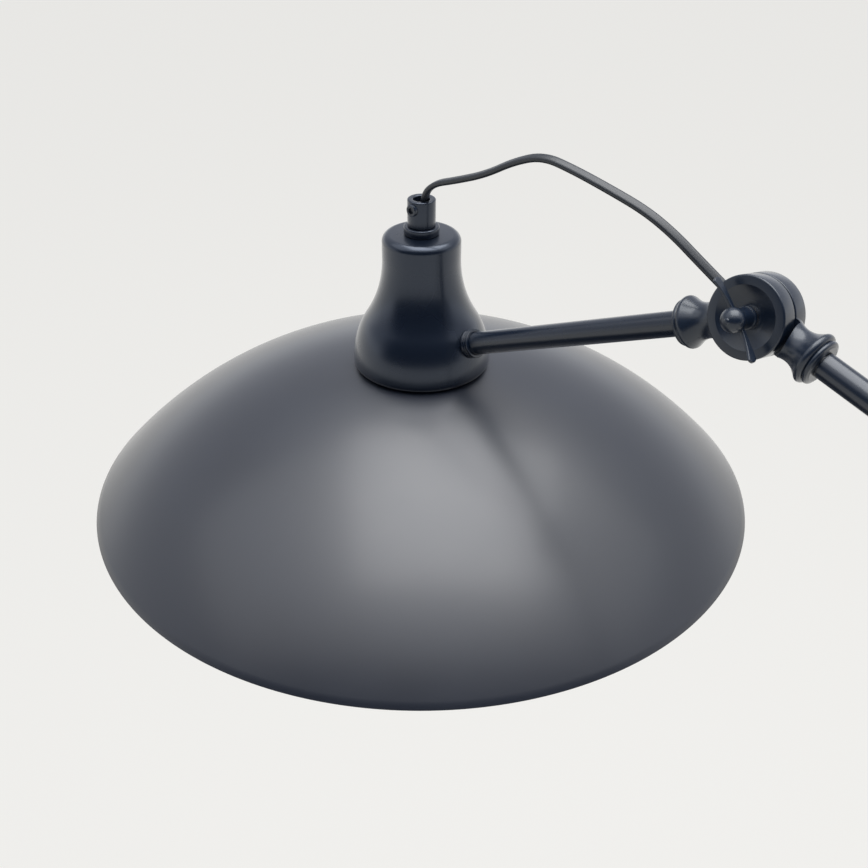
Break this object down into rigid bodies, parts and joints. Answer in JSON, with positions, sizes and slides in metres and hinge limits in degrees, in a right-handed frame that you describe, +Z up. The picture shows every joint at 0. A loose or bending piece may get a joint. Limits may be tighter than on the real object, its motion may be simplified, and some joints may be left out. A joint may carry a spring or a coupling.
{
  "type": "pharmacy floor lamp",
  "caption": "Black pharmacy floor lamp: wide dome shade with a bell socket cup on a short arm, wing-screw knuckles, tilting boom, height-adjustable pole and round weighted base.",
  "frame": {"origin": "centre of the underside of the base, on the pole axis", "axes": "+Z up along the pole, +X from the pole towards the head along the boom, +Y to the side of the wing screws"},
  "size_m": [0.9068, 0.3699, 1.44],
  "materials": {
    "black_coat": "satin",
    "zinc_steel": "satin",
    "cast_weight": "matte",
    "foot_rubber": "matte",
    "bushing_rubber": "matte",
    "knob_plastic": "satin",
    "guide_nylon": "matte",
    "friction_fibre": "matte",
    "holder_plastic": "satin",
    "contact_porcelain": "matte",
    "shell_brass": "satin",
    "bulb_glass": "matte",
    "cord_sheath": "matte"
  },
  "bodies": {
    "base": {"base_pad": "foot_rubber", "base_weight": "cast_weight", "base_cover": "black_coat", "base_collar": "black_coat", "pole_stud": "zinc_steel", "base_washer": "zinc_steel", "base_nut": "zinc_steel", "cord_bushing": "bushing_rubber", "lower_pole": "black_coat", "height_collar": "black_coat"},
    "height screw": {"height_screw": "knob_plastic"},
    "upper pole": {"upper_pole": "black_coat", "guide_bush": "guide_nylon", "pole_spigot": "zinc_steel"},
    "pole head": {"pole_back_half": "black_coat", "pole_friction_washer": "friction_fibre", "pole_knuckle_nut": "zinc_steel", "pole_stop_screw": "zinc_steel"},
    "pole wing": {"pole_wing_screw": "black_coat"},
    "boom": {"pole_front_half": "black_coat", "pole_wing_washer": "zinc_steel", "boom_tube": "black_coat", "boom_spigot": "zinc_steel"},
    "head swivel": {"head_back_half": "black_coat", "head_friction_washer": "friction_fibre", "head_knuckle_nut": "zinc_steel", "head_stop_screw": "zinc_steel"},
    "head wing": {"head_wing_screw": "black_coat"},
    "arm": {"head_front_half": "black_coat", "head_wing_washer": "zinc_steel", "arm_tube": "black_coat", "arm_spigot": "zinc_steel", "arm_collar": "black_coat", "swivel_washer": "zinc_steel", "arm_lock_nut": "zinc_steel", "cord": "cord_sheath"},
    "shade": {"shade": "black_coat", "socket_cup": "black_coat", "lampholder_skirt": "holder_plastic", "lampholder_cap": "holder_plastic", "contact_block": "contact_porcelain", "screw_shell": "shell_brass", "shade_ring": "holder_plastic", "bulb": "bulb_glass", "nipple": "zinc_steel", "collar_nut": "black_coat", "cord_grip": "black_coat", "grip_screw": "black_coat"}
  },
  "joints": [
    {"name": "height", "type": "slide", "parent": "base", "child": "upper pole", "axis": [0, 0, 1], "range_m": [-0.35, 0.15]},
    {"name": "height screw turn", "type": "hinge", "parent": "base", "child": "height screw", "pos_m": [0, 0.02, 0.779], "axis": [0, 1, 0], "range_deg": [-180, 90]},
    {"name": "pole swivel", "type": "hinge", "parent": "upper pole", "child": "pole head", "pos_m": [0, 0, 1.29], "axis": [0, 0, 1], "range_deg": [-170, 170]},
    {"name": "boom tilt", "type": "hinge", "parent": "pole head", "child": "boom", "pos_m": [0, 0, 1.29], "axis": [0, -1, 0], "range_deg": [-35, 55]},
    {"name": "pole wing turn", "type": "hinge", "parent": "pole head", "child": "pole wing", "pos_m": [0, 0.015, 1.29], "axis": [0, 1, 0], "range_deg": [-180, 90]},
    {"name": "head roll", "type": "hinge", "parent": "boom", "child": "head swivel", "pos_m": [0.38637, 0, 1.39353], "axis": [0.9659, 0, 0.2588], "range_deg": [-90, 65]},
    {"name": "head tilt", "type": "hinge", "parent": "head swivel", "child": "arm", "pos_m": [0.38637, 0, 1.39353], "axis": [0.0617, -0.9711, -0.2304], "range_deg": [-50, 80]},
    {"name": "head wing turn", "type": "hinge", "parent": "head swivel", "child": "head wing", "pos_m": [0.38544, 0.01457, 1.39698], "axis": [-0.0617, 0.9711, 0.2304], "range_deg": [-180, 90]},
    {"name": "shade roll", "type": "hinge", "parent": "arm", "child": "shade", "pos_m": [0.56988, 0.03058, 1.31381], "axis": [0.9067, 0.1511, -0.3939], "range_deg": [-60, 60], "deforming": ["cord"]}
  ]
}
